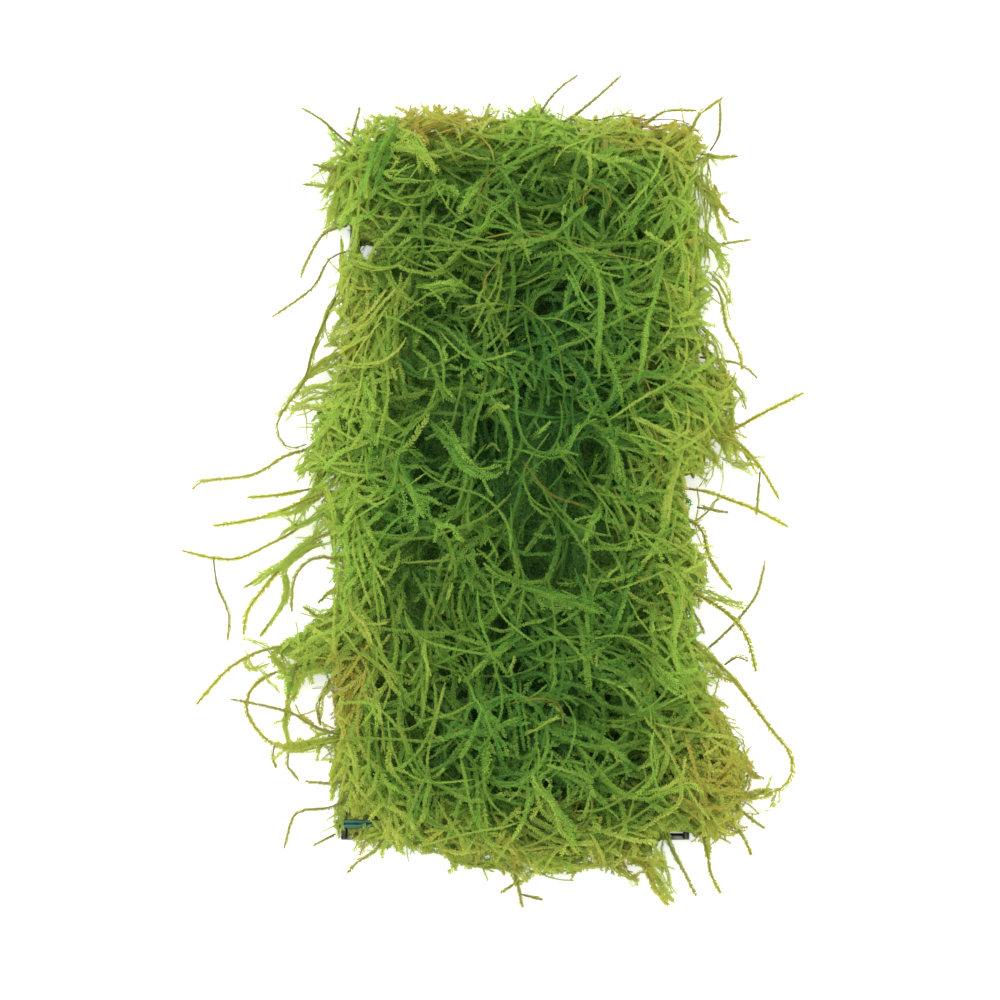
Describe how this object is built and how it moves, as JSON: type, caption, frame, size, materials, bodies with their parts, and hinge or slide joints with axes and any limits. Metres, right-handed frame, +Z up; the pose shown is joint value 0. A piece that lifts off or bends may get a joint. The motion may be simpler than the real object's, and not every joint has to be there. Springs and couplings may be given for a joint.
{
  "type": "java moss mat",
  "caption": "Rectangular pad of java moss tied with green coated wire onto a welded stainless-steel mesh plate, with loose leafy shoots straying past its edges.",
  "frame": {"origin": "on the underside of the mesh plate's middle cross wire, which the mat rests on, in the middle of the moss's width", "axes": "+Z up from the surface the mat lies on, +Y along the mat's length to its far end, +X to its right side"},
  "size_m": [0.1434, 0.1965, 0.0195],
  "materials": {
    "mesh_steel": "dull drawn stainless wire, welded",
    "tie_coating": "glossy teal-green coating on wire",
    "moss": "damp java moss, deep green inside and yellow-green at the edge",
    "moss_shoot": "single java moss shoots, yellow-green and translucent"
  },
  "bodies": {
    "root": {"mesh_plate": "mesh_steel", "near_tie": "tie_coating", "far_tie": "tie_coating", "moss_pad": "moss", "left_shoot_1": "moss_shoot", "left_shoot_2": "moss_shoot", "left_shoot_3": "moss_shoot", "left_shoot_4": "moss_shoot", "left_shoot_5": "moss_shoot", "left_shoot_6": "moss_shoot", "left_shoot_7": "moss_shoot", "left_shoot_8": "moss_shoot", "left_shoot_9": "moss_shoot", "left_shoot_10": "moss_shoot", "left_shoot_11": "moss_shoot", "left_shoot_12": "moss_shoot", "left_shoot_13": "moss_shoot", "left_shoot_14": "moss_shoot", "corner_shoot_1": "moss_shoot", "corner_shoot_2": "moss_shoot", "corner_shoot_3": "moss_shoot", "corner_shoot_4": "moss_shoot", "corner_shoot_5": "moss_shoot", "corner_shoot_6": "moss_shoot", "corner_shoot_7": "moss_shoot", "near_shoot_1": "moss_shoot", "near_shoot_2": "moss_shoot", "near_shoot_3": "moss_shoot", "near_shoot_4": "moss_shoot", "near_shoot_5": "moss_shoot", "near_shoot_6": "moss_shoot", "near_shoot_7": "moss_shoot", "right_shoot_1": "moss_shoot", "right_shoot_2": "moss_shoot", "right_shoot_3": "moss_shoot", "right_shoot_4": "moss_shoot", "right_shoot_5": "moss_shoot", "right_shoot_6": "moss_shoot", "right_shoot_7": "moss_shoot", "right_shoot_8": "moss_shoot", "right_shoot_9": "moss_shoot", "right_shoot_10": "moss_shoot", "right_shoot_11": "moss_shoot", "right_shoot_12": "moss_shoot", "far_shoot_1": "moss_shoot", "far_shoot_2": "moss_shoot", "far_shoot_3": "moss_shoot", "far_shoot_4": "moss_shoot", "far_shoot_5": "moss_shoot"}
  },
  "joints": []
}
